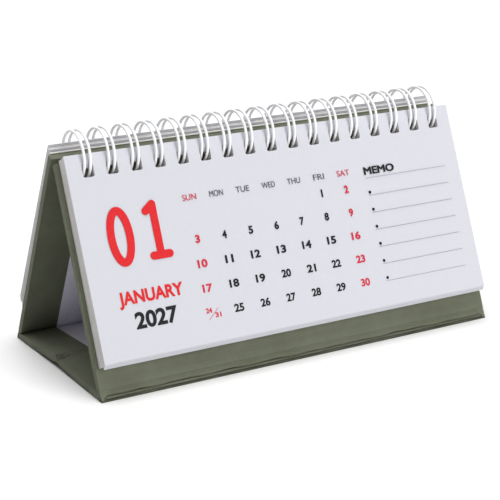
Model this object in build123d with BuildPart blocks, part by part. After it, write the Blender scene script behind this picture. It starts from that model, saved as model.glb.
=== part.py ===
"""Flip desk calendar: a folding board stand with month leaves on a twin-loop wire comb.

Millimetres, +Z up. +X runs along the ridge, +Y points to the back of the stand.
The origin is the centre of the footprint, on the desk.
"""
from build123d import *
import math
import os

os.makedirs("parts", exist_ok=True)

# ---------------------------------------------------------------- driving sizes
stand_width = 153.0        # boards, along the ridge
stand_depth = 67.5         # from the front bottom fold to the rear bottom fold
ridge_height = 71.6        # ring axis above the bottom folds
ridge_setback = 32.4       # ring axis behind the front bottom fold
crease_rise = 1.8          # how far the folding base lifts off the desk at its crease

greyboard_thickness = 1.8
cover_thickness = 0.2      # green covering paper, outside and turned in
lining_thickness = 0.2     # white end paper
turn_in_width = 13.4       # how far the covering turns in over the inner faces
hinge_clearance = 0.33     # foot of a sloping board to the lining of the base
base_end_clearance = 0.15  # base board ends to the covering in the bottom folds
crease_gap = 5.0           # bare covering between the two base boards
face_clearance = 0.15      # half the gap that is left when the stand is folded flat
land_depth = 0.08          # how much of each bottom fold is pressed flat on the desk
crease_peak = 0.3          # how far the covering bulges up in the crease

loop_pitch = 8.467         # three loops to the inch
ring_radius = 8.2          # to the middle of the wire
wire_diameter = 0.95
finger_spacing = 2.16      # between the two wires of a loop
spine_bend_radius = 0.9
tip_clearance = 0.3        # loop tips to the spine
slot_side_play = 0.445     # each side of a loop's two wires
slot_height = 4.4
slot_drop = 3.2            # top edge of a leaf to its slots
slot_corner_radius = 0.7
slot_side_margin = 5.0     # least distance from a leaf's side to the middle of a slot
front_slot_clearance = 1.125    # wire to the lower end of the front board's slots
back_slot_clearance = 0.225     # the same at the back board

leaf_side_inset = 1.35     # leaves from the sides of the boards
leaf_foot_rise = 11.95     # how much shorter the leaves are than the slope
leaf_thickness = 0.25
ring_room = 1.705          # middle of the first leaf inside the ring
turned_pitch = 0.4         # turned leaves at the back, between middles
turned_count = 6
first_leaf_gap = 0.06      # front board to the rearmost front leaf
wire_play = 0.15           # least room between the wire and the end of a slot
lowered_count = 4          # leaves at the front that have dropped most
lowered_hang = 0.9         # how far they have dropped, of the play in their slots
rear_leaf_hang = 0.06      # the same for the rearmost front leaf
hang_step = 0.05           # and how much more for each leaf in front of it
turned_hang = 0.1          # the same for the turned leaves, which lie unevenly
turned_stagger = 0.12
stagger_steps = 3          # the turned leaves' drops repeat after this many
front_fan = 0.7            # degrees, first leaf against the front board
back_fan_start = 0.3       # degrees, innermost turned leaf against the back board
back_fan = 1.0             # degrees more over the turned leaves
board_top_back = 0.2       # back board's top edge below the ring axis, along the slope
board_top_front = 1.9

MONTHS = ["jan", "feb", "mar", "apr", "may", "jun",
          "jul", "aug", "sep", "oct", "nov", "dec"]

wire_radius = wire_diameter / 2
slot_width = finger_spacing + wire_diameter + 2 * slot_side_play
leaf_width = stand_width - 2 * leaf_side_inset
loop_count = math.floor((leaf_width - 2 * slot_side_margin) / loop_pitch) + 1

# ---------------------------------------------------------------- section through the stand
board_thickness = greyboard_thickness + cover_thickness + lining_thickness
axis_offset = board_thickness + face_clearance    # ring or crease axis to an outer face
fold_z = -land_depth
front_fold = Vector(0, -stand_depth / 2, fold_z)
rear_fold = Vector(0, stand_depth / 2, fold_z)
ring_axis = Vector(0, ridge_setback - stand_depth / 2, fold_z + ridge_height)


def slope_angle(fold):
    """Lean from vertical of a sloping board's outer face, which starts at a bottom fold."""
    run = abs(ring_axis.Y - fold.Y)
    rise = ring_axis.Z - fold.Z
    return math.atan2(run, rise) - math.asin(axis_offset / math.hypot(run, rise))


def slope_length(fold):
    """Along an outer face, from a bottom fold to the point level with the ring axis."""
    return math.sqrt((ring_axis - fold).length ** 2 - axis_offset ** 2)


front_lean = slope_angle(front_fold)
back_lean = slope_angle(rear_fold)
front_slope = slope_length(front_fold)
back_slope = slope_length(rear_fold)

# The crease sits where both halves of the loop are equally long, so the stand folds flat.
crease_setback = (stand_depth + back_slope - front_slope) / 2
crease_axis = Vector(0, crease_setback - stand_depth / 2, fold_z + crease_rise + axis_offset)
leaf_height = min(front_slope, back_slope) - leaf_foot_rise


def base_angle(fold):
    """Tilt of a base half's underside, which starts at a bottom fold."""
    run = abs(crease_axis.Y - fold.Y)
    rise = crease_axis.Z - fold.Z
    return math.atan2(rise, run) - math.asin(axis_offset / math.hypot(run, rise))


def base_length(fold):
    """Along an underside, from a bottom fold to the point under the crease axis."""
    return math.sqrt((crease_axis - fold).length ** 2 - axis_offset ** 2)


def face_plane(origin, y_dir):
    """Plane on a board's outer face: local X along the ridge, local Z pointing outwards."""
    along = y_dir.normalized()
    return Plane(origin=origin, x_dir=(1, 0, 0), z_dir=Vector(1, 0, 0).cross(along))


# Each plane's origin is a bottom fold. Local Y runs up the front board, down the back board,
# and forwards along the base.
front_up = Vector(0, math.sin(front_lean), math.cos(front_lean))
back_down = Vector(0, math.sin(back_lean), -math.cos(back_lean))
base_front_tilt = base_angle(front_fold)
base_rear_tilt = base_angle(rear_fold)
front_plane = face_plane(front_fold, front_up)
back_plane = face_plane(rear_fold, back_down)
base_front_plane = face_plane(front_fold, Vector(0, -math.cos(base_front_tilt), -math.sin(base_front_tilt)))
base_rear_plane = face_plane(rear_fold, Vector(0, -math.cos(base_rear_tilt), math.sin(base_rear_tilt)))


def foot_gap(lean, tilt):
    """Bare covering from a bottom fold to a sloping board whose foot clears the base."""
    closing = lean + tilt
    return (board_thickness * (1 + math.sin(closing)) + hinge_clearance) / math.cos(closing)


def board_slots(slot_clearance):
    """Middle of a sloping board's slots below the ring axis, clear of the wire that passes them."""
    return ring_radius + wire_radius + slot_clearance - slot_height / 2


def base_end(lean, tilt):
    """Where a base board ends, clear of the covering that leans over its end."""
    closing = lean + tilt
    return board_thickness * math.tan(closing) + cover_thickness / math.cos(closing) + base_end_clearance


# Extents of each covered board along its plane's local Y, as (low end, high end).
hinge_gap = max(foot_gap(front_lean, base_front_tilt), foot_gap(back_lean, base_rear_tilt))
front_span = (hinge_gap, front_slope - board_top_front)
back_span = (-(back_slope - board_top_back), -hinge_gap)
front_slots = front_slope - board_slots(front_slot_clearance)
back_slots = board_slots(back_slot_clearance) - back_slope
base_front_span = (-(base_length(front_fold) - crease_gap / 2),
                   -base_end(front_lean, base_front_tilt))
base_rear_span = (base_end(back_lean, base_rear_tilt),
                  base_length(rear_fold) - crease_gap / 2)

loop_places = [((index - (loop_count - 1) / 2) * loop_pitch) for index in range(loop_count)]


# ---------------------------------------------------------------- helpers
def slot_row(plane, slot_middle, depth):
    """Cut the row of slots through the part being built, depth to each side of the plane."""
    with BuildSketch(plane) as openings:
        with Locations(*[(place, slot_middle) for place in loop_places]):
            RectangleRounded(slot_width, slot_height, slot_corner_radius)
    extrude(openings.sketch, amount=depth, both=True, mode=Mode.SUBTRACT)


def slab(plane, low, high, width, outer_depth, thickness, mode=Mode.ADD):
    """Add or cut a slab between two places along a plane, outer_depth below the outer face."""
    with BuildSketch(plane.offset(-outer_depth - thickness)) as section:
        with Locations((0, (low + high) / 2)):
            Rectangle(width, high - low)
    extrude(section.sketch, amount=thickness, mode=mode)


def finish(part, name):
    """Name a finished piece and write it."""
    part.label = name
    export_step(part, f"parts/{name}.step")


def make_board(name, plane, span, free_end=None, slots=None):
    """One greyboard with its covering, which is turned in at the ends, and its lining.

    A board without a free end is half of the base, and its covering runs on to the bottom fold.
    """
    inner_width = stand_width - 2 * cover_thickness
    low, high = span
    inner_low = low + cover_thickness if free_end == "low" else low
    inner_high = high - cover_thickness if free_end == "high" else high
    window_low = low + turn_in_width if free_end == "low" else low
    window_high = high - turn_in_width if free_end == "high" else high
    window_width = stand_width - 2 * turn_in_width

    with BuildPart() as greyboard:
        slab(plane, inner_low, inner_high, inner_width, cover_thickness, greyboard_thickness)
        if slots is not None:
            slot_row(plane, slots, axis_offset)
    finish(greyboard.part, f"board_{name}")

    with BuildPart() as cover:
        slab(plane, low, high, stand_width, 0, board_thickness)
        slab(plane, inner_low, inner_high, inner_width, cover_thickness, greyboard_thickness,
             Mode.SUBTRACT)
        slab(plane, window_low, window_high, window_width,
             board_thickness - lining_thickness, lining_thickness, Mode.SUBTRACT)
        if free_end is None:
            fold_reach = sorted((0, min(span, key=abs)))
            slab(plane, *fold_reach, stand_width, 0, cover_thickness)
            split(bisect_by=Plane.XY, keep=Keep.TOP)
        if slots is not None:
            slot_row(plane, slots, axis_offset)
    finish(cover.part, f"cover_{name}")

    with BuildPart() as lining:
        slab(plane, window_low, window_high, window_width,
             board_thickness - lining_thickness, lining_thickness)
        if slots is not None:
            slot_row(plane, slots, axis_offset)
    finish(lining.part, f"lining_{name}")


def ring_point(angle, x=0.0, radius=ring_radius):
    """Point on the ring, at an angle in radians from +Y towards +Z."""
    return Vector(x, ring_axis.Y + radius * math.cos(angle), ring_axis.Z + radius * math.sin(angle))


# ---------------------------------------------------------------- stand
make_board("front", front_plane, front_span, "high", front_slots)
make_board("back", back_plane, back_span, "low", back_slots)
make_board("base_front", base_front_plane, base_front_span)
make_board("base_rear", base_rear_plane, base_rear_span)


def make_fold_band(name, plane, side):
    """Covering between a bottom fold and its sloping board, in the board's outer face."""
    fold_room = cover_thickness + face_clearance
    ends = sorted((side * fold_room, side * hinge_gap))
    with BuildPart() as band:
        slab(plane, ends[0], ends[1], stand_width, 0, cover_thickness)
    finish(band.part, f"hinge_{name}")


make_fold_band("front", front_plane, 1)
make_fold_band("rear", back_plane, -1)

# The crease: covering and lining pressed together between the two base boards.
crease_thickness = cover_thickness + lining_thickness
rear_end = base_rear_plane.from_local_coords(Vector(0, base_rear_span[1], 0))
front_end = base_front_plane.from_local_coords(Vector(0, base_front_span[0], 0))
crease_top = (rear_end + front_end) / 2 + Vector(0, 0, crease_peak)
crease_line = [front_end, crease_top, rear_end]
crease_outline = [(point.Y, point.Z) for point in crease_line]
crease_outline += [(point.Y, point.Z + crease_thickness) for point in reversed(crease_line)]
with BuildPart() as hinge_crease:
    with BuildSketch(Plane.YZ.offset(-stand_width / 2)):
        with BuildLine():
            Polyline(*crease_outline, close=True)
        make_face()
    extrude(amount=stand_width)
finish(hinge_crease.part, "hinge_crease")

# ---------------------------------------------------------------- wire comb
spine_height = axis_offset + face_clearance + wire_radius    # above the back board's inner plane
back_slope_direction = back_lean - math.pi / 2
spine_angle = back_slope_direction + math.asin(spine_height / ring_radius)
bend_start = spine_angle + spine_bend_radius / ring_radius
tip_angle = spine_angle - (wire_diameter + tip_clearance) / ring_radius
arc_end = tip_angle - finger_spacing / 2 / ring_radius + 2 * math.pi
half_spine = (loop_pitch - finger_spacing) / 2


def tangent(angle):
    return Vector(0, -math.sin(angle), math.cos(angle))


def spine_bend(side):
    """Quarter bend from a ring wire to the spine, on one side of a loop, as three points."""
    ring_end = ring_point(bend_start, side * half_finger)
    centre = ring_end + Vector(side * spine_bend_radius, 0, 0)
    towards_bend = (Vector(-side, 0, 0) - tangent(bend_start)).normalized()
    spine_end = centre - tangent(bend_start) * spine_bend_radius
    return ring_end, centre + towards_bend * spine_bend_radius, spine_end


half_finger = finger_spacing / 2
arc_middle = (bend_start + arc_end) / 2
lower_quarter = (bend_start + arc_middle) / 2
upper_quarter = (arc_middle + arc_end) / 2
spine_middle = ring_point(bend_start) - tangent(bend_start) * spine_bend_radius
left_ring, left_through, left_spine = spine_bend(-1)
right_ring, right_through, right_spine = spine_bend(1)
with BuildLine() as loop_path:
    Line(spine_middle - Vector(half_finger + half_spine, 0, 0), left_spine)
    ThreePointArc(left_spine, left_through, left_ring)
    ThreePointArc(left_ring, ring_point(lower_quarter, -half_finger),
                  ring_point(arc_middle, -half_finger))
    ThreePointArc(ring_point(arc_middle, -half_finger), ring_point(upper_quarter, -half_finger),
                  ring_point(arc_end, -half_finger))
    ThreePointArc(ring_point(arc_end, -half_finger),
                  ring_point(arc_end) + tangent(arc_end) * half_finger,
                  ring_point(arc_end, half_finger))
    ThreePointArc(ring_point(arc_end, half_finger), ring_point(upper_quarter, half_finger),
                  ring_point(arc_middle, half_finger))
    ThreePointArc(ring_point(arc_middle, half_finger), ring_point(lower_quarter, half_finger),
                  right_ring)
    ThreePointArc(right_ring, right_through, right_spine)
    Line(right_spine, spine_middle + Vector(half_finger + half_spine, 0, 0))

with BuildPart() as wire_loop:
    with BuildSketch(Plane(origin=loop_path.line @ 0, z_dir=(1, 0, 0))):
        Circle(wire_radius)
    sweep(path=loop_path.line)

with BuildPart() as wire_comb:
    with Locations(*[(place, 0, 0) for place in loop_places]):
        add(wire_loop.part)
finish(wire_comb.part, "wire_comb")


# ---------------------------------------------------------------- leaves
def leaf_top_edge(distance, play_share):
    """Top edge of a leaf below the ring axis, with the wire inside its slots.

    At a share of 1 the leaf hangs with the top of its slots on the wire.
    """
    crossing = math.sqrt(ring_radius ** 2 - distance ** 2)
    steepness = distance / crossing
    reach = wire_radius * math.hypot(1, steepness) + leaf_thickness / 2 * steepness
    highest = crossing + reach + wire_play - slot_drop - slot_height
    lowest = crossing - reach - wire_play - slot_drop
    return highest + play_share * (lowest - highest)


def make_leaf(name, slope_angle_at_ring, side, distance, play_share):
    """A leaf whose middle plane passes the ring axis at a distance.

    The angle, from +Y towards +Z, points down the leaf. Side is 1 behind the stand, -1 in front.
    """
    down = Vector(0, math.cos(slope_angle_at_ring), math.sin(slope_angle_at_ring))
    outwards = Vector(0, -math.sin(slope_angle_at_ring), math.cos(slope_angle_at_ring)) * side
    plane = Plane(origin=ring_axis + outwards * distance, x_dir=(1, 0, 0),
                  z_dir=Vector(1, 0, 0).cross(down))
    top = leaf_top_edge(distance, play_share)
    with BuildPart() as leaf:
        with BuildSketch(plane):
            with Locations((0, top + leaf_height / 2)):
                Rectangle(leaf_width, leaf_height)
        extrude(amount=leaf_thickness / 2, both=True)
        slot_row(plane, top + slot_drop + slot_height / 2, leaf_thickness)
    finish(leaf.part, name)


front_slope_direction = -math.pi / 2 - front_lean
month_count = len(MONTHS)
last_leaf_distance = axis_offset + first_leaf_gap + leaf_thickness / 2
leaf_pitch = (ring_radius - ring_room - last_leaf_distance) / (month_count - 1)
for index, month in enumerate(MONTHS):
    from_board = month_count - 1 - index
    share = from_board / (month_count - 1)
    distance = last_leaf_distance + from_board * leaf_pitch
    hang = lowered_hang if index < lowered_count else rear_leaf_hang + hang_step * from_board
    make_leaf(f"leaf_{month}", front_slope_direction - math.radians(front_fan) * share,
              -1, distance, hang)

turned_start = spine_height + wire_radius + face_clearance + leaf_thickness / 2
for number in range(turned_count + 1):
    share = number / turned_count
    name = "leaf_title" if number == 0 else f"leaf_turned_{number}"
    make_leaf(name, back_slope_direction + math.radians(back_fan_start + back_fan * share),
              1, turned_start + number * turned_pitch,
              turned_hang + turned_stagger * (number % stagger_steps))
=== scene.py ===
# %% [markdown]
# # A flip desk calendar, finished in Blender
# The working model of this calendar comes from CAD: a folding stand of four covered boards, a comb
# of twin wire loops and a stack of month leaves. Each of its pieces already has its true size and
# its place. This lesson gives those pieces their surfaces, prints the months, and adds the folded
# covering paper that a solid model says only roughly.

# %% Load the frame
import calendar
import math

import bmesh
import bpy
from mathutils import Matrix, Vector, noise


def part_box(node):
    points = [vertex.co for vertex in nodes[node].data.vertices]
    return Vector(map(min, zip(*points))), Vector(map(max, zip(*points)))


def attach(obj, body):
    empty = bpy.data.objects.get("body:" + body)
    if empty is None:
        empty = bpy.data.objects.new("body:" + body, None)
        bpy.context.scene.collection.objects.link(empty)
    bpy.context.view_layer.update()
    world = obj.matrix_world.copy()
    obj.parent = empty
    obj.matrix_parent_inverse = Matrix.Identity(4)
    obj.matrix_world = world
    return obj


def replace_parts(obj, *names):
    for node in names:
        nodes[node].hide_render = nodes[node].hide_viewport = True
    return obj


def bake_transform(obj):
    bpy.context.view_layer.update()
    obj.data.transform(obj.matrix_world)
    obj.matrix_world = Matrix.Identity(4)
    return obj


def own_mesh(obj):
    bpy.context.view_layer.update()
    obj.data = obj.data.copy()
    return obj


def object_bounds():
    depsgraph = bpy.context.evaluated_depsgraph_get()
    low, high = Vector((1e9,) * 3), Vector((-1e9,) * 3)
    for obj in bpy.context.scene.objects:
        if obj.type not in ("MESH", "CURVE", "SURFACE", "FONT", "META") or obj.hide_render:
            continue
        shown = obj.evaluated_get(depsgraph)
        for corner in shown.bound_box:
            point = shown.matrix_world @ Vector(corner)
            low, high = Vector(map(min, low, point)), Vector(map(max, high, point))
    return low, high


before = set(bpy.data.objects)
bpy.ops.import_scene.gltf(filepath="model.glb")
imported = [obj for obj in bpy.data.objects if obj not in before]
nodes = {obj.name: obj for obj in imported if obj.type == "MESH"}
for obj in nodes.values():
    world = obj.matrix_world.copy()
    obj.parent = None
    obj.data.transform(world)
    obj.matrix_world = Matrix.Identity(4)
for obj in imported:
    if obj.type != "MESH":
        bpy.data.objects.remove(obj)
cad_box = [list(corner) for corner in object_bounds()]
MM = 0.001
print("CAD nodes:", len(nodes), "box in mm:", [[round(v / MM, 1) for v in c] for c in cad_box])

# %% [markdown]
# ## Colours and nodes
# Colours are easiest to choose as sRGB hex values, but Blender's shaders work in linear light, so
# one small function turns one into the other. A second function adds a node, sets it and links it.
# That is all a material needs, and it keeps every recipe below short enough to read.

# %% Colour and node helpers
def linear(hex_colour):
    """An sRGB hex colour, such as "70725f", as linear RGBA."""
    values = [int(hex_colour[i:i + 2], 16) / 255 for i in (0, 2, 4)]
    return [v / 12.92 if v <= 0.04045 else ((v + 0.055) / 1.055) ** 2.4 for v in values] + [1.0]


def add_node(tree, kind, links=None, **settings):
    """A node of that kind, with settings for its properties or inputs, and links into its inputs."""
    node = tree.nodes.new(kind)
    for name, value in settings.items():
        if hasattr(node, name):
            setattr(node, name, value)
        else:
            node.inputs[name.replace("_", " ")].default_value = value
    for socket, source in (links or {}).items():
        tree.links.new(source, node.inputs[socket])
    return node


def start_material(name, roughness, ior=1.45, metallic=0.0):
    """A new material with its Principled shader, and the shader's tree."""
    material = bpy.data.materials.new(name)
    material.use_nodes = True
    shader = material.node_tree.nodes["Principled BSDF"]
    shader.inputs["Roughness"].default_value = roughness
    shader.inputs["IOR"].default_value = ior
    shader.inputs["Metallic"].default_value = metallic
    return material, material.node_tree, shader


def set_stops(ramp, *stops):
    """Put a colour ramp's first stops at those positions, with those colours."""
    for element, (position, colour) in zip(ramp.color_ramp.elements, stops):
        element.position, element.color = position, colour


def per_metre(size_mm):
    """Texture scale whose features are about that many millimetres across."""
    return 1 / (size_mm * MM)


# %% [markdown]
# ## Covering paper
# The boards are wrapped in book-covering paper: an uncoated sheet, dyed sage olive in the pulp and
# embossed with a fine linen grain. It is matt, so its roughness is high, and the grain is what the
# eye reads as cloth. Two crossed wave patterns make the threads, a noise breaks them up, and a
# large soft noise gives the slight unevenness of a dyed sheet. A Bevel node bends the normal near
# each edge, so that a fold catches the light as if it had a small radius.

# %% Covering paper material
THREAD_MM = 0.55       # the real linen grain is nearer 0.35, which is too fine to show
FIBRE_MM = 0.8         # clumps of fibre that break the grain up
CLOUD_MM = 14          # the unevenness of the dye
GRAIN_DEPTH_MM = 0.06
FOLD_RADIUS_MM = 0.25  # paper wrapped round a board never has a knife edge
WAVE_UNIT = math.pi / 10    # turns a Wave texture's scale into bands per metre


def make_covering_paper():
    """Sage olive covering paper with a linen grain."""
    material, tree, shader = start_material("embossed_covering_paper", roughness=0.72)
    place = add_node(tree, "ShaderNodeTexCoord").outputs["Object"]
    warp, weft = (add_node(tree, "ShaderNodeTexWave", {"Vector": place}, bands_direction=direction,
                           Scale=per_metre(THREAD_MM) * WAVE_UNIT, Distortion=1.2, Detail=2.0,
                           Detail_Scale=3.0) for direction in "XZ")
    weave = add_node(tree, "ShaderNodeMath", {0: warp.outputs["Fac"], 1: weft.outputs["Fac"]},
                     operation="ADD")
    fibres = add_node(tree, "ShaderNodeTexNoise", {"Vector": place},
                      Scale=per_metre(FIBRE_MM), Detail=5.0, Roughness=0.7)
    relief = add_node(tree, "ShaderNodeMath", {0: weave.outputs[0], 1: fibres.outputs["Fac"]},
                      operation="ADD")
    clouds = add_node(tree, "ShaderNodeTexNoise", {"Vector": place},
                      Scale=per_metre(CLOUD_MM), Detail=3.0, Roughness=0.6)
    dye = add_node(tree, "ShaderNodeValToRGB", {"Fac": clouds.outputs["Fac"]})
    set_stops(dye, (0.35, linear("5f6350")), (0.65, linear("686c5a")))
    speck = add_node(tree, "ShaderNodeValToRGB", {"Fac": relief.outputs[0]})
    set_stops(speck, (0.3, (0.86, 0.86, 0.86, 1.0)), (0.9, (1.0, 1.0, 1.0, 1.0)))
    tone = add_node(tree, "ShaderNodeMix", {6: dye.outputs["Color"], 7: speck.outputs["Color"]},
                    data_type="RGBA", blend_type="MULTIPLY")
    tone.inputs[0].default_value = 1.0
    tree.links.new(tone.outputs[2], shader.inputs["Base Color"])
    rounding = add_node(tree, "ShaderNodeBevel", samples=6, Radius=FOLD_RADIUS_MM * MM)
    bump = add_node(tree, "ShaderNodeBump",
                    {"Height": relief.outputs[0], "Normal": rounding.outputs["Normal"]},
                    Strength=0.35, Distance=GRAIN_DEPTH_MM * MM)
    tree.links.new(bump.outputs["Normal"], shader.inputs["Normal"])
    return material


covering_paper = make_covering_paper()
print("made", covering_paper.name, "with a grain of", THREAD_MM, "mm")

# %% [markdown]
# ## Card, end paper and greyboard
# The leaves are smooth uncoated card with an optical brightener, which is why their faces look a
# little violet beside their cut edges. The edges are plain fibre, so the shader looks at the
# leaf's own normal and gives them a warmer tone. On the leaves the edge colour is also much lighter
# than the face: that lightness is painted light, standing in for the light that falls on the
# stack's cut edges. End paper and greyboard are the same recipe with other colours and coarser
# fibre.

# %% Paper materials
FACE_LIMIT = 0.7       # a leaf's face looks along Y more than this, and its cut edges look less


def make_paper(name, face, edge, mottle, fibre_mm, roughness=0.85, bump_mm=0.01):
    """Paper with a face colour, a cut-edge colour, and mottle as a share of brightness."""
    material, tree, shader = start_material(name, roughness)
    coordinates = add_node(tree, "ShaderNodeTexCoord")
    fibres = add_node(tree, "ShaderNodeTexNoise", {"Vector": coordinates.outputs["Object"]},
                      Scale=per_metre(fibre_mm), Detail=6.0, Roughness=0.65)
    normal = add_node(tree, "ShaderNodeSeparateXYZ", {"Vector": coordinates.outputs["Normal"]})
    facing = add_node(tree, "ShaderNodeMath", {0: normal.outputs["Y"]}, operation="ABSOLUTE")
    is_face = add_node(tree, "ShaderNodeMath", {0: facing.outputs[0]}, operation="GREATER_THAN")
    is_face.inputs[1].default_value = FACE_LIMIT
    # on the leaf cards the cut-edge colour is lighter than the face: warmer fibre, and painted light
    # on the edges
    colour = add_node(tree, "ShaderNodeMix", {0: is_face.outputs[0]}, data_type="RGBA")
    colour.inputs[6].default_value = linear(edge)
    colour.inputs[7].default_value = linear(face)
    shade = add_node(tree, "ShaderNodeMapRange", {"Value": fibres.outputs["Fac"]},
                     From_Min=0.3, From_Max=0.7, To_Min=1 - mottle, To_Max=1.0)
    tone = add_node(tree, "ShaderNodeMix", {6: colour.outputs[2], 7: shade.outputs[0]},
                    data_type="RGBA", blend_type="MULTIPLY")
    tone.inputs[0].default_value = 1.0
    tree.links.new(tone.outputs[2], shader.inputs["Base Color"])
    bump = add_node(tree, "ShaderNodeBump", {"Height": fibres.outputs["Fac"]},
                    Strength=0.25, Distance=bump_mm * MM)
    tree.links.new(bump.outputs["Normal"], shader.inputs["Normal"])
    return material


CARD_FIBRE_MM = 0.9
# the light cut-edge colour f2efeb is partly painted light on the stack's edges
leaf_card = make_paper("brightened_uncoated_card", "c9c9d0", "f2efeb", 0.03, CARD_FIBRE_MM)
# darker cut edge: painted shade between the sheets of the stack
shade_line_card = make_paper("brightened_card_shaded_cut", "c8c8cf", "dbd8d3", 0.03, CARD_FIBRE_MM)
title_card = make_paper("sage_dyed_card", "8f9a84", "a9ad9f", 0.06, CARD_FIBRE_MM)
end_paper = make_paper("white_end_paper", "e9e6f5", "d2cfd6", 0.05, fibre_mm=1.6, bump_mm=0.03)
greyboard = make_paper("grey_binding_board", "8b877c", "8b877c", 0.22, fibre_mm=1.2, bump_mm=0.08)
print("papers:", leaf_card.name, title_card.name, end_paper.name, greyboard.name)

# %% [markdown]
# ## Nylon-coated wire and printing ink
# Twin-loop wire is steel with a thin white nylon coat. The coat is a plastic, so the surface is a
# dielectric of IOR 1.53 with a soft gloss, and tiny waves in the coat keep the highlights from
# looking ruled. Offset ink soaks into uncoated card, so it is almost as matt as the paper, and a
# fine mottle shows where the card took more or less of it.

# %% Wire and ink materials
COAT_WAVE_MM = 1.5     # the length and depth of the unevenness in the nylon
COAT_DEPTH_MM = 0.02
INK_MOTTLE_MM = 0.6
SOAKED_SHEEN = 0.2     # of the sheen that the same ink has on coated paper


def make_coated_wire():
    """White nylon over steel wire."""
    material, tree, shader = start_material("white_nylon_coated_wire", roughness=0.32, ior=1.53)
    place = add_node(tree, "ShaderNodeTexCoord").outputs["Object"]
    waves = add_node(tree, "ShaderNodeTexNoise", {"Vector": place},
                     Scale=per_metre(COAT_WAVE_MM), Detail=3.0)
    tint = add_node(tree, "ShaderNodeValToRGB", {"Fac": waves.outputs["Fac"]})
    set_stops(tint, (0.3, linear("ecedf0")), (0.7, linear("f6f6f8")))
    tree.links.new(tint.outputs["Color"], shader.inputs["Base Color"])
    bump = add_node(tree, "ShaderNodeBump", {"Height": waves.outputs["Fac"]},
                    Strength=0.3, Distance=COAT_DEPTH_MM * MM)
    tree.links.new(bump.outputs["Normal"], shader.inputs["Normal"])
    shader.inputs["Coat Weight"].default_value = 0.2
    return material


def make_ink(name, full, thin):
    """Ink that is full where the card took it well and thin where it didn't."""
    material, tree, shader = start_material(name, roughness=0.6, ior=1.5)
    place = add_node(tree, "ShaderNodeTexCoord").outputs["Object"]
    mottle = add_node(tree, "ShaderNodeTexNoise", {"Vector": place},
                      Scale=per_metre(INK_MOTTLE_MM), Detail=4.0)
    cover = add_node(tree, "ShaderNodeValToRGB", {"Fac": mottle.outputs["Fac"]})
    set_stops(cover, (0.3, linear(thin)), (0.6, linear(full)))
    tree.links.new(cover.outputs["Color"], shader.inputs["Base Color"])
    shader.inputs["Specular IOR Level"].default_value = SOAKED_SHEEN
    return material


coated_wire = make_coated_wire()
red_ink = make_ink("red_offset_ink", "cf1a20", "d32a2e")
rose_ink = make_ink("rose_offset_ink", "c4253c", "cb3449")
black_ink = make_ink("black_offset_ink", "151419", "1e1d22")
grey_ink = make_ink("grey_offset_ink", "4c4a52", "5a5860")
rule_ink = make_ink("pale_rule_ink", "8f8c96", "9a97a2")
inks = (red_ink, rose_ink, black_ink, grey_ink, rule_ink)
print("wire and inks:", coated_wire.name, [ink.name for ink in inks])

# %% [markdown]
# ## Finishing the CAD pieces
# Each CAD piece keeps its mesh and takes the material of its kind, which the first word of its name
# tells. In the stack of leaves, every third one gets a darker cut edge: painted shade, standing in
# for the thin lines of shade between the sheets. The feet of the two sloping boards can be seen when
# the stand is folded flat, so their faces take the covering paper that is drawn in over them.

# %% Materials on the CAD pieces
FINISH = {"board": greyboard, "cover": covering_paper, "hinge": covering_paper,
          "lining": end_paper, "leaf": leaf_card, "wire": coated_wire}
FACING_DOWN = -0.7     # the foot of a sloping board faces down along the slope

leaf_names = sorted(name for name in nodes if name.startswith("leaf_"))
for name in sorted(nodes):
    nodes[name].data.materials.clear()
    nodes[name].data.materials.append(FINISH[name.split("_")[0]])
# painted shade: every third leaf's darker cut edge stands for shade between the sheets
for name in leaf_names[::3]:
    nodes[name].data.materials[0] = shade_line_card
nodes["leaf_title"].data.materials[0] = title_card
for name in ("board_front", "board_back"):
    foot = nodes[name].data
    foot.materials.append(covering_paper)
    for face in foot.polygons:
        face.material_index = int(face.normal.z < FACING_DOWN)
print("finished", len(nodes), "CAD nodes")

# %% [markdown]
# ## A frame on each sheet
# The leaves lean, so it helps to work in each leaf's own flat frame: X across, Y up the sheet and Z
# out of the paper. The frame is read from the CAD mesh: its largest faces give the normal, and the
# furthest corners give the sheet's top left corner and size.

# %% Sheet frames
FRONT, REVERSE = -1, 1     # which way along Y a face looks
LEANING = 0.3              # the least share of Y in the normal of a leaning sheet's face


def sheet_frame(name, outward):
    """(matrix, width, height) of a CAD sheet's face that looks to the front or to the back."""
    mesh = nodes[name].data
    normal = Vector()
    for face in mesh.polygons:
        if face.normal.y * outward > LEANING:
            normal += face.normal * face.area
    normal.normalize()
    across = Vector((-outward, 0, 0))
    up = normal.cross(across)
    points = [Vector((v.co.dot(across), v.co.dot(up), v.co.dot(normal))) for v in mesh.vertices]
    left, right = min(p.x for p in points), max(p.x for p in points)
    bottom, top = min(p.y for p in points), max(p.y for p in points)
    corner = across * left + up * top + normal * max(p.z for p in points)
    matrix = Matrix((across, up, normal)).transposed().to_4x4()
    matrix.translation = corner
    return matrix, right - left, top - bottom


_, leaf_width, leaf_height = sheet_frame("leaf_jan", FRONT)
print("leaf", round(leaf_width / MM, 1), "by", round(leaf_height / MM, 1), "mm")

# %% [markdown]
# ## Ink as shapes
# Print could be painted by an image, but real outlines stay sharp at any distance. A text object
# gives the letters, and each becomes a film of ink a hundredth of a millimetre thick lying on the
# card. The built-in font has one weight, so bolder type is the same outline grown by a bevel, and
# each word is then scaled to the exact size it has on the leaf.

# %% Type
FILM = 0.012           # mm, the ink's thickness
CAP_SHARE = 0.7        # the built-in font's capitals and figures, as a share of its size
OUTLINE_STEPS = 5      # points along each curve of a letter
BOLD, BOLDER = 0.05, 0.055     # how far an outline grows, with capitals 1 unit high
RULE_THICKNESS = 0.16  # mm
type_cache = {}


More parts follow.
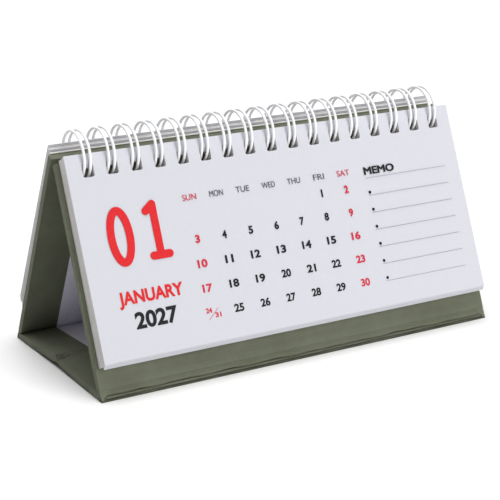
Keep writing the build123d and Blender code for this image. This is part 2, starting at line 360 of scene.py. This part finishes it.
def set_type(words, weight):
    """(points, faces) of a line of type with capitals 1 unit high, its left foot at the origin."""
    key = (words, weight)
    if key not in type_cache:
        curve = bpy.data.curves.new("type", "FONT")
        curve.body = words
        curve.size = 1 / CAP_SHARE
        curve.bevel_depth = weight
        curve.bevel_resolution = 0
        curve.resolution_u = OUTLINE_STEPS
        curve.extrude = 0.5
        setting = bpy.data.objects.new("type", curve)
        bpy.context.scene.collection.objects.link(setting)
        bpy.context.view_layer.update()
        ready = setting.evaluated_get(bpy.context.evaluated_depsgraph_get())
        solid = bmesh.new()
        solid.from_mesh(ready.to_mesh())
        bmesh.ops.remove_doubles(solid, verts=solid.verts, dist=1e-5)
        points = [v.co.copy() for v in solid.verts]
        solid.verts.index_update()
        faces = [[v.index for v in f.verts] for f in solid.faces]
        solid.free()
        ready.to_mesh_clear()
        bpy.data.objects.remove(setting)
        bpy.data.curves.remove(curve)
        type_cache[key] = (points, faces)
    return type_cache[key]


print("bold grows an outline by", BOLD, "of the height of a capital")

# %% [markdown]
# A printer locks type and rules into a forme and prints it in one ink. Here a forme gathers every
# shape of one ink on a leaf, in the leaf's own millimetres, so each leaf needs only one mesh for
# each ink, and that mesh rides on the leaf.

# %% Formes
class Forme:
    """Shapes that are printed together in one ink, in millimetres from a leaf's top left corner."""

    def __init__(self, ink):
        self.ink, self.points, self.faces = ink, [], []

    def add(self, points, faces):
        start = len(self.points)
        self.points += points
        self.faces += [[start + i for i in face] for face in faces]

    def words(self, words, middle, down, height, width=None, weight=0.0):
        """Type whose middle is at a place across and down the leaf, scaled to a width."""
        points, faces = set_type(words, weight)
        left, right = min(p.x for p in points), max(p.x for p in points)
        stretch = width / (right - left) if width else height
        centre = (left + right) / 2
        self.add([Vector(((p.x - centre) * stretch + middle, (p.y - 0.5) * height - down,
                          (p.z + 0.5) * FILM)) for p in points], faces)

    def polygon(self, outline, film=FILM):
        """A flat shape with that outline, as a film."""
        count = len(outline)
        low = [Vector((x, y, 0)) for x, y in outline]
        high = [Vector((x, y, film)) for x, y in outline]
        sides = [[i, (i + 1) % count, (i + 1) % count + count, i + count] for i in range(count)]
        ends = [list(range(count))[::-1], [i + count for i in range(count)]]
        self.add(low + high, ends + sides)

    def rule(self, left, right, down):
        """A thin straight line across the leaf."""
        top = -down + RULE_THICKNESS
        self.polygon([(left, -down), (right, -down), (right, top), (left, top)])

    def print_on(self, name, leaf, matrix):
        """Lay the forme on a leaf's face as one mesh that moves with the leaf."""
        mesh = bpy.data.meshes.new(name)
        mesh.from_pydata([matrix @ (p * MM) for p in self.points], [], self.faces)
        mesh.materials.append(self.ink)
        tidy = bmesh.new()
        tidy.from_mesh(mesh)
        bmesh.ops.recalc_face_normals(tidy, faces=tidy.faces)
        tidy.to_mesh(mesh)
        tidy.free()
        piece = bpy.data.objects.new(name, mesh)
        bpy.context.scene.collection.objects.link(piece)
        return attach(piece, leaf)


print("an ink film is", FILM, "mm thick")

# %% [markdown]
# ## The big round-ended figures
# The month number is drawn like a pen stroke with round ends: a closed loop for 0, a stem with a
# flag and a foot for 1. A stroke is a row of points, and its ribbon is the same row shifted half a
# stroke to each side, with half a circle at each end. The other figures follow the same style.

# %% Points of the figures
def arc(cx, cy, rx, ry, start, stop, steps=20):
    """Points along part of an ellipse, angles in degrees."""
    turns = [math.radians(start + (stop - start) * i / steps) for i in range(steps + 1)]
    return [(cx + rx * math.cos(a), cy + ry * math.sin(a)) for a in turns]


def loop(cx, cy, rx, ry):
    """A closed ellipse."""
    return arc(cx, cy, rx, ry, 90, 450, 48)


SIX = [loop(.5, .3, .5, .3), arc(1.02, .3, 1.02, .7, 103, 172)]
FIGURES = {
    "0": [loop(.5, .5, .5, .5)],
    "1": [[(.04, .88), (.49, 1)], [(.49, 1), (.49, 0)], [(.04, 0), (1, 0)]],
    "2": [arc(.5, .73, .48, .27, 165, -28) + [(0, 0)], [(0, 0), (1, 0)]],
    "3": [arc(.46, .76, .45, .24, 150, -75), arc(.46, .27, .52, .27, 78, -150)],
    "4": [[(.76, 0), (.76, 1)], [(.76, 1), (0, .3)], [(0, .3), (1, .3)]],
    "5": [[(.92, 1), (.14, 1)], [(.14, 1), (.08, .55)], arc(.47, .31, .52, .31, 128, -150)],
    "6": SIX,
    "7": [[(0, 1), (1, 1)], [(1, 1), (.36, 0)]],
    "8": [loop(.5, .77, .42, .23), loop(.5, .27, .5, .27)],
    "9": [[(1 - x, 1 - y) for x, y in stroke] for stroke in SIX],
}
print("strokes in each figure:", {figure: len(FIGURES[figure]) for figure in sorted(FIGURES)})

# %% [markdown]
# Where two strokes of a figure cross, their films would lie in one plane and flicker, so each stroke
# lies a little higher than the one before.

# %% Pen strokes
STROKE_STEP = 0.2      # each stroke of a figure lies this share of a film above the last
SHARPEST_MITRE = 0.45  # keeps the outline of a sharp corner from shooting out
END_STEPS = 12         # points round the end of a stroke


def offset_points(points, half):
    """The points shifted half a stroke to the left of their direction, mitred at the corners."""
    closed = points[0] == points[-1] or math.dist(points[0], points[-1]) < 1e-6
    shifted = []
    for i, point in enumerate(points):
        before = points[i - 1] if i else (points[-2] if closed else point)
        after = points[i + 1] if i + 1 < len(points) else (points[1] if closed else point)
        first = Vector((point[0] - before[0], point[1] - before[1]))
        second = Vector((after[0] - point[0], after[1] - point[1]))
        first = first.normalized() if first.length else second.normalized()
        second = second.normalized() if second.length else first
        bisector = (first + second).normalized()
        side = Vector((-bisector.y, bisector.x)) / max(SHARPEST_MITRE, bisector.dot(first))
        shifted.append((point[0] + side.x * half, point[1] + side.y * half))
    return shifted


def draw_stroke(forme, points, half, film):
    """One pen stroke as a ribbon, closed or with round ends."""
    left = offset_points(points, half)
    right = offset_points(points, -half)
    if math.dist(points[0], points[-1]) < 1e-6:
        count = len(points) - 1
        rings = [(side[i][0], side[i][1], z) for z in (0, film) for side in (left, right)
                 for i in range(count)]
        faces = []
        for i in range(count):
            j = (i + 1) % count
            for a, b in ((0, 1), (1, 3), (3, 2), (2, 0)):
                faces.append([a * count + i, a * count + j, b * count + j, b * count + i])
        forme.add([Vector(p) for p in rings], faces)
        return
    ends = []
    for point, towards in ((points[-1], points[-2]), (points[0], points[1])):
        heading = math.degrees(math.atan2(point[1] - towards[1], point[0] - towards[0]))
        ends.append(arc(*point, half, half, heading + 90, heading - 90, END_STEPS)[1:-1])
    forme.polygon(left + ends[0] + right[::-1] + ends[1], film)


def draw_figure(forme, figure, left, top, width, height, stroke):
    """One figure in a box, given by its outer sizes."""
    for order, points in enumerate(FIGURES[figure]):
        placed = [(left + stroke / 2 + x * (width - stroke),
                   -top - height + stroke / 2 + y * (height - stroke)) for x, y in points]
        draw_stroke(forme, placed, stroke / 2, FILM * (1 + STROKE_STEP * order))


print("each further stroke lies", round(STROKE_STEP * FILM, 4), "mm higher")

# %% [markdown]
# ## The month page
# Every leaf has the same layout: the month's number, name and year at the left, seven columns of
# dates in the middle and ruled memo lines at the right. The dates come from Python's calendar
# module. A month that spreads over six weeks shares a square at the end, as in 24/31. Everything is
# in millimetres from the leaf's top left corner.

# %% Heading
YEAR = 2027
FIGURE_STROKE = 2.65
FIGURE_BOXES = [(9.3, 18.2, 9.1, 19.3), (22.5, 17.7, 8.6, 19.2)]    # left, top, width, height


def set_heading(formes, month):
    """The month's number, its name and the year."""
    for figure, box in zip(f"{month:02d}", FIGURE_BOXES):
        draw_figure(formes["red"], figure, *box, FIGURE_STROKE)
    name = calendar.month_name[month].upper()
    formes["red_type"].words(name, middle=20.4, down=47.3, height=3.9, width=3.3 * len(name),
                             weight=BOLD)
    formes["black"].words(str(YEAR), middle=20.7, down=54.9, height=5.0, width=15.2, weight=BOLD)


print("year", YEAR)

# %% [markdown]
# The built-in font's 1 is narrow, so 11 is set closer than other dates, and a 1 alone keeps its own
# width. Sundays and Saturdays are printed in rose.

# %% Weekdays and dates
COLUMN_FIRST, COLUMN_PITCH = 40.6, 10.05
ROW_FIRST, ROW_PITCH, ROWS = 24.45, 8.14, 5
DATE_HEIGHT, DATE_ADVANCE, DATE_GAP = 2.45, 1.93, 0.25
ELEVEN_WIDTH = 2 * DATE_ADVANCE - 3 * DATE_GAP
SHARED_SCALE = 0.62    # of a date that shares its square with another
WEEKDAYS = ["SUN", "MON", "TUE", "WED", "THU", "FRI", "SAT"]
WEEKDAY_DOWN, WEEKDAY_HEIGHT, WEEKDAY_WIDTH, FRIDAY_WIDTH = 18.75, 2.0, 5.1, 4.3
SLASH = [(-1.45, -2.1), (2.55, 1.25), (2.45, 1.35), (-1.55, -2.0)]


def column_ink(formes, column, weekday_ink):
    """Rose for the two ends of the week, another ink between."""
    return formes["rose" if column in (0, 6) else weekday_ink]


def set_weekdays(formes):
    """The names of the days above the dates."""
    for column, day in enumerate(WEEKDAYS):
        column_ink(formes, column, "grey").words(
            day, COLUMN_FIRST + column * COLUMN_PITCH, WEEKDAY_DOWN, WEEKDAY_HEIGHT,
            width=FRIDAY_WIDTH if day == "FRI" else WEEKDAY_WIDTH)


def set_date(forme, text, middle, down, scale=1.0):
    """One date, whose figures all advance alike except for 1."""
    width = ELEVEN_WIDTH if text == "11" else len(text) * DATE_ADVANCE - DATE_GAP
    forme.words(text, middle, down, DATE_HEIGHT * scale, weight=BOLDER,
                width=None if text == "1" else width * scale)


def set_shared(forme, first, second, middle, down):
    """Two dates in one square, with a slash between them."""
    set_date(forme, str(first), middle - 1.1, down - 0.85, SHARED_SCALE)
    set_date(forme, str(second), middle + 2.0, down + 0.95, SHARED_SCALE)
    forme.polygon([(middle + x, y - down) for x, y in SLASH])


def set_dates(formes, month):
    """The dates of a month, with a sixth week sharing the squares of the fifth."""
    weeks = calendar.Calendar(firstweekday=6).monthdayscalendar(YEAR, month)
    for row, week in enumerate(weeks[:ROWS]):
        down = ROW_FIRST + row * ROW_PITCH
        for column, day in enumerate(week):
            forme = column_ink(formes, column, "black")
            middle = COLUMN_FIRST + column * COLUMN_PITCH
            below = weeks[row + 1][column] if row + 1 == ROWS < len(weeks) else 0
            if below:
                set_shared(forme, day, below, middle, down)
            elif day:
                set_date(forme, str(day), middle, down)


print("dates are", DATE_HEIGHT, "mm high, in columns", COLUMN_PITCH, "mm apart")

# %% [markdown]
# The memo lines start with a bullet, apart from the one under the word. A month's page is then four
# calls that fill the formes and one that prints each of them.

# %% Memo lines and the whole page
RULE_FIRST, RULE_PITCH, RULE_COUNT = 21.85, 6.04, 7
RULE_LEFT, RULE_LENGTH = 109.6, 34.6
BULLET_IN, BULLET_UP, BULLET_RADIUS = 0.6, 1.1, 0.55
PAGE_INKS = {"red": red_ink, "red_type": red_ink, "rose": rose_ink, "black": black_ink,
             "grey": grey_ink, "rule": rule_ink}


def set_memo(formes):
    """The word, the lines and their bullets."""
    formes["black"].words("MEMO", middle=115.8, down=19.25, height=2.5, width=12.8, weight=BOLD)
    for line in range(RULE_COUNT):
        down = RULE_FIRST + line * RULE_PITCH
        formes["rule"].rule(RULE_LEFT, RULE_LEFT + RULE_LENGTH, down)
        if line:
            bullet = arc(RULE_LEFT + BULLET_IN, BULLET_UP - down, BULLET_RADIUS, BULLET_RADIUS,
                         0, 360, 16)
            formes["black"].polygon(bullet[:-1])


def print_month(month):
    """Print one month's page on its leaf, one mesh for each ink."""
    leaf = "leaf_" + calendar.month_abbr[month].lower()
    formes = {key: Forme(ink) for key, ink in PAGE_INKS.items()}
    set_heading(formes, month)
    set_weekdays(formes)
    set_dates(formes, month)
    set_memo(formes)
    matrix = sheet_frame(leaf, FRONT)[0]
    for key, forme in formes.items():
        forme.print_on(f"print_{key}_{leaf[5:]}", leaf, matrix)
    return sum(len(forme.faces) for forme in formes.values())


print("faces printed for each month:", [print_month(month) for month in range(1, 13)])

# %% [markdown]
# ## The reverse
# The reverse of each leaf is what shows at the back of the stand once it has been turned over. It
# is ruled for notes, with the slots at the top again.

# %% Ruled reverse
NOTE_TOP, NOTE_PITCH, NOTE_LINES, NOTE_MARGIN = 20.0, 7.2, 6, 12.0
NOTES_WIDTH, NOTES_HEIGHT, NOTES_ABOVE = 14.4, 2.4, 3.4


def print_reverse(leaf):
    """Rule the side of a leaf that faces the back."""
    matrix, width, _ = sheet_frame(leaf, REVERSE)
    forme = Forme(rule_ink)
    for line in range(NOTE_LINES):
        forme.rule(NOTE_MARGIN, width / MM - NOTE_MARGIN, NOTE_TOP + line * NOTE_PITCH)
    forme.words("NOTES", NOTE_MARGIN + NOTES_WIDTH / 2, NOTE_TOP - NOTES_ABOVE, NOTES_HEIGHT,
                width=NOTES_WIDTH, weight=BOLD)
    return forme.print_on(f"print_reverse_{leaf[5:]}", leaf, matrix)


ruled = [print_reverse(name) for name in leaf_names if name != "leaf_title"]
print("reverses ruled:", len(ruled))

# %% [markdown]
# ## The covering in the folds
# Between two boards the covering has no board behind it. Outside, it sinks into the gap; inside,
# the turned-in covering and the white lining bridge the corner. At each end the sheet is folded
# over in a mitre, which stays level with the boards. Each fold is one closed body with an outer and
# an inner skin. Both skins run from the end of one board to the end of the next, and those ends
# are read from the CAD pieces.

# %% Fold helpers
FOLD_STEP_MM = 0.5     # the grid's step across the calendar
FOLD_ROWS = 14         # and its number of steps round the fold
COVER_MM = 0.2         # the covering paper's thickness
END_DEPTH_MM = 0.8     # corners this close to a board's furthest point belong to its end


def smooth(value, low, high):
    """0 below low, 1 above high and a smooth step between."""
    share = min(1.0, max(0.0, (value - low) / (high - low)))
    return share * share * (3 - 2 * share)


def outline_points(node):
    """The corners of a CAD node's outline seen from its end, as Y and Z in mm."""
    return {(round(v.co.y / MM, 3), round(v.co.z / MM, 3)) for v in nodes[node].data.vertices}


def end_corners(node, towards):
    """(lower, upper) corner of the end of a CAD board that faces the front or the back."""
    points = outline_points(node)
    furthest = max(y * towards for y, z in points)
    end = [Vector(p) for p in points if p[0] * towards > furthest - END_DEPTH_MM]
    return min(end, key=lambda p: p.y), max(end, key=lambda p: p.y)


def arch(share):
    """0 at both ends of a fold and 1 in its middle."""
    return math.sin(math.pi * share)


half_width_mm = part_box("cover_front")[1].x / MM
lining_half_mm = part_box("lining_front")[1].x / MM
print("fold half width", round(half_width_mm, 1), "mm, lining", round(lining_half_mm, 1), "mm")

# %% [markdown]
# A fold's body is a grid for each skin, joined by walls round the rim. The skins are functions of
# the place across the calendar and of the share of the way round the fold, so one function builds
# every fold.

# %% Body of a fold
def fold_mesh(name, outer, inner, lining_half):
    """A closed body between two skins. A skin gives (Y, Z) in mm for a place across and a share."""
    half = half_width_mm
    columns = round(2 * half / FOLD_STEP_MM)
    grid = bmesh.new()
    skins = []
    for skin in (outer, inner):
        points = []
        for row in range(FOLD_ROWS + 1):
            for column in range(columns + 1):
                across = -half + 2 * half * column / columns
                y, z = skin(across, row / FOLD_ROWS)
                points.append(grid.verts.new(Vector((across, y, z)) * MM))
        skins.append(points)
    stride = columns + 1
    for row in range(FOLD_ROWS):
        for column in range(columns):
            a = row * stride + column
            quad = (a, a + stride, a + stride + 1, a + 1)
            grid.faces.new([skins[0][i] for i in quad])
            under = grid.faces.new([skins[1][i] for i in reversed(quad)])
            middle = -half + 2 * half * (column + 0.5) / columns
            under.material_index = int(abs(middle) < lining_half)
    rim = ([row * stride for row in range(FOLD_ROWS)]
           + [FOLD_ROWS * stride + column for column in range(columns)]
           + [row * stride + columns for row in range(FOLD_ROWS, 0, -1)]
           + list(range(columns, 0, -1)))
    for a, b in zip(rim, rim[1:] + rim[:1]):
        wall = grid.faces.new([skins[0][a], skins[1][a], skins[1][b], skins[0][b]])
        wall.smooth = False
    bmesh.ops.recalc_face_normals(grid, faces=grid.faces)
    mesh = bpy.data.meshes.new(name)
    grid.to_mesh(mesh)
    grid.free()
    mesh.materials.append(covering_paper)
    mesh.materials.append(end_paper)
    piece = bpy.data.objects.new(name, mesh)
    bpy.context.scene.collection.objects.link(piece)
    return piece


print("fold grid step", FOLD_STEP_MM, "mm")

# %% [markdown]
# ## The bottom folds
# The front and rear folds are alike: the covering leaves the foot of a sloping board, sinks into a
# shallow groove and goes round the end of the base board. The front fold rides with the front half
# of the base.

# %% Bottom folds
SINK_MM = 0.15         # the covering over the end of the base board
GROOVE_MM = 0.2        # and deeper just below the foot of the sloping board
MITRE_SLOPE = 0.8      # how far the level end runs in, as a share of the way down the fold
MITRE_EDGE_MM = (0.3, 0.9)
RIPPLE_MM, RIPPLE_PER_MM, RIPPLE_ROWS = 0.04, 0.12, 2
BULGE_MM = 0.12        # the turned-in layer across the corner


def make_bottom_fold(name, hinge, board, base, towards):
    """The covering from a sloping board's foot to the base board's end."""
    lower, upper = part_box(hinge)
    top = Vector(((lower.y if towards == REVERSE else upper.y) / MM, upper.z / MM))
    foot = Vector(((upper.y if towards == REVERSE else lower.y) / MM, COVER_MM))
    slope = (top - foot).normalized()
    inwards = Vector((slope.y, -slope.x)) * -towards
    inner_foot = Vector(min(outline_points(board), key=lambda p: p[1]))
    base_top = end_corners(base, towards)[1] + Vector((0, COVER_MM))
    height = (top - foot).length

    def outer(across, share):
        end = half_width_mm - abs(across)
        past_mitre = smooth(end - height * (1 - share) * MITRE_SLOPE, *MITRE_EDGE_MM)
        between = smooth(share, 0.0, 0.1) * smooth(1 - share, 0.0, 0.35)
        groove = smooth(share, 0.0, 0.1) - smooth(share, 0.15, 0.4)
        place = Vector((across * RIPPLE_PER_MM, share * RIPPLE_ROWS, 3.0))
        sink = between * (SINK_MM + RIPPLE_MM * noise.noise(place)) + groove * GROOVE_MM
        return top.lerp(foot, share) + inwards * past_mitre * sink

    def inner(across, share):
        return inner_foot.lerp(base_top, share) + inwards * BULGE_MM * arch(share)

    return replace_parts(fold_mesh(name, outer, inner, lining_half_mm), hinge)


front_fold = make_bottom_fold("fold_front", "hinge_front", "cover_front", "board_base_front", FRONT)
rear_fold = make_bottom_fold("fold_rear", "hinge_rear", "cover_back", "board_base_rear", REVERSE)
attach(front_fold, "base_front")
front_low, front_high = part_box("hinge_front")
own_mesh(front_fold)
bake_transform(rear_fold)
print("bottom folds", round((front_high.z - front_low.z) / MM, 1), "mm high")

# %% [markdown]
# ## The crease under the tent
# The base folds in half, and its crease has been bent many times: the covering and its turned-in
# layer have buckled into small lumps, most at the two open ends. Both skins are lifted by a noise
# that grows towards the ends, and the upper one dips between the boards.

# %% Crease
BUCKLE_REACH_MM = 9.0  # how far in from each end the lumps are large
BUCKLE_EDGE_MM = 0.5
COARSE_MM, COARSE_END_MM = 0.2, 2.6    # the larger lumps along the crease, and what an end adds
FINE_MM, FINE_END_MM = 0.06, 1.5       # the same for the small ones
UNDER_SHARE = 0.35     # the boards' weight presses the lower skin flatter
LIFT_MM, DIP_MM = 0.35, 0.75
NO_LINING = 0.0        # the white lining stops at the board on each side of the crease


def buckle(across, share, seed):
    """Height of the lumps, in mm, at a place on a skin of the crease."""
    end = 1 - smooth(half_width_mm - abs(across), BUCKLE_EDGE_MM, BUCKLE_REACH_MM)
    coarse = noise.noise(Vector((across * 0.35, share * 3, seed)))
    fine = noise.noise(Vector((across * 1.3, share * 6, seed + 5)))
    return arch(share) * ((COARSE_MM + COARSE_END_MM * end) * coarse
                          + (FINE_MM + FINE_END_MM * end) * fine)


def make_crease():
    """The covering between the two halves of the base."""
    rear_low, rear_top = end_corners("cover_base_rear", FRONT)
    front_low, front_top = end_corners("cover_base_front", REVERSE)

    def under(across, share):
        lift = LIFT_MM * arch(share) + UNDER_SHARE * buckle(across, share, 7.0)
        return rear_low.lerp(front_low, share) + Vector((0, lift))

    def over(across, share):
        dip = buckle(across, share, 2.0) - DIP_MM * arch(share)
        return rear_top.lerp(front_top, share) + Vector((0, dip))

    crease = fold_mesh("crease_covering", under, over, NO_LINING)
    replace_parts(crease, "hinge_crease")
    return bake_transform(crease)


crease = make_crease()
print("crease", len(crease.data.vertices), "points")

# %% [markdown]
# ## Floor
# The object stands on a plain painted floor, which runs far enough back to fill the view, so it
# serves as the backdrop too.

# %% Floor
FLOOR_HALF, FLOOR_STEPS = 3.0, 8   # m, and the grid's steps
FLOOR_DROP_MM = 0.05               # keeps the floor clear of the base's own lower face


def make_floor():
    """A pale floor just under the object."""
    mesh = bpy.data.meshes.new("floor")
    grid = bmesh.new()
    bmesh.ops.create_grid(grid, x_segments=FLOOR_STEPS, y_segments=FLOOR_STEPS, size=FLOOR_HALF)
    grid.to_mesh(mesh)
    grid.free()
    material, tree, shader = start_material("pale_painted_floor", roughness=0.9)
    place = add_node(tree, "ShaderNodeTexCoord").outputs["Object"]
    clouds = add_node(tree, "ShaderNodeTexNoise", {"Vector": place}, Scale=4.0)
    tint = add_node(tree, "ShaderNodeValToRGB", {"Fac": clouds.outputs["Fac"]})
    tint.color_ramp.elements[0].color = linear("f4f4f4")
    tint.color_ramp.elements[1].color = linear("f8f8f8")
    tree.links.new(tint.outputs["Color"], shader.inputs["Base Color"])
    mesh.materials.append(material)
    floor = bpy.data.objects.new("floor", mesh)
    floor.location.z = cad_box[0][2] - FLOOR_DROP_MM * MM
    bpy.context.scene.collection.objects.link(floor)


make_floor()
print("floor at z", round(cad_box[0][2] / MM, 2), "mm")

# %% [markdown]
# ## Lights
# Three square lamps make soft light. The one overhead makes the floor the brightest thing in view,
# the one in front evens out the page, and the one behind lights the floor beyond and the edges of
# the turned leaves. The world adds little, so the inside of the tent falls into shade by itself.

# %% Lights
WORLD_STRENGTH = 0.1
SOFTBOXES = [("overhead_softbox", (0.0, 0.0, 1.8), 1.8, 36),     # name, place, size and watts
             ("front_softbox", (0.4, -1.3, 0.5), 1.0, 13.5),
             ("back_softbox", (0.0, 1.7, 1.1), 1.6, 16)]
centre = (Vector(cad_box[0]) + Vector(cad_box[1])) / 2


def add_softbox(name, offset, size, power):
    """A square lamp at an offset from the object's centre, facing it."""
    lamp = bpy.data.lights.new(name, "AREA")
    lamp.size, lamp.energy = size, power
    holder = bpy.data.objects.new(name, lamp)
    holder.location = centre + Vector(offset)
    holder.rotation_euler = (-Vector(offset)).to_track_quat("-Z", "Y").to_euler()
    bpy.context.scene.collection.objects.link(holder)


world = bpy.data.worlds.new("white_room")
world.use_nodes = True
background = world.node_tree.nodes["Background"]
background.inputs["Color"].default_value = (1.0, 1.0, 1.0, 1.0)
background.inputs["Strength"].default_value = WORLD_STRENGTH
bpy.context.scene.world = world
for softbox in SOFTBOXES:
    add_softbox(*softbox)
bpy.context.scene.view_settings.view_transform = "Standard"
print("lamps:", [softbox[0] for softbox in SOFTBOXES])

# %% [markdown]
# ## Camera
# The camera stands to the left of the front and a little above, so that the page, the comb and the
# open end of the tent all show. A long lens keeps the sides nearly parallel, and a small lens shift
# frames the object without turning the camera any further.

# %% Camera
VIEW_AZIMUTH, VIEW_ELEVATION, VIEW_ROLL = -31.2, 17.4, 0.2     # degrees
VIEW_DISTANCE = 537.5 * MM
LENS_MM, SENSOR_MM = 113.0, 36.0
SHIFT_X, SHIFT_Y = -0.013, -0.0136
AIM = Vector((-4.5, -7.8, -6.0)) * MM    # from the object's centre to where the lens points

azimuth, elevation = math.radians(VIEW_AZIMUTH), math.radians(VIEW_ELEVATION)
level = math.cos(elevation)
back = Vector((math.sin(azimuth) * level, -math.cos(azimuth) * level, math.sin(elevation)))
lens = bpy.data.cameras.new("camera")
lens.lens, lens.sensor_width = LENS_MM, SENSOR_MM
lens.shift_x, lens.shift_y = SHIFT_X, SHIFT_Y
camera = bpy.data.objects.new("camera", lens)
camera.location = centre + AIM + back * VIEW_DISTANCE
camera.rotation_euler = ((-back).to_track_quat("-Z", "Y").to_matrix()
                         @ Matrix.Rotation(math.radians(VIEW_ROLL), 3, "Z")).to_euler()
bpy.context.scene.collection.objects.link(camera)
bpy.context.scene.camera = camera
print("camera", round(VIEW_DISTANCE / MM), "mm away")
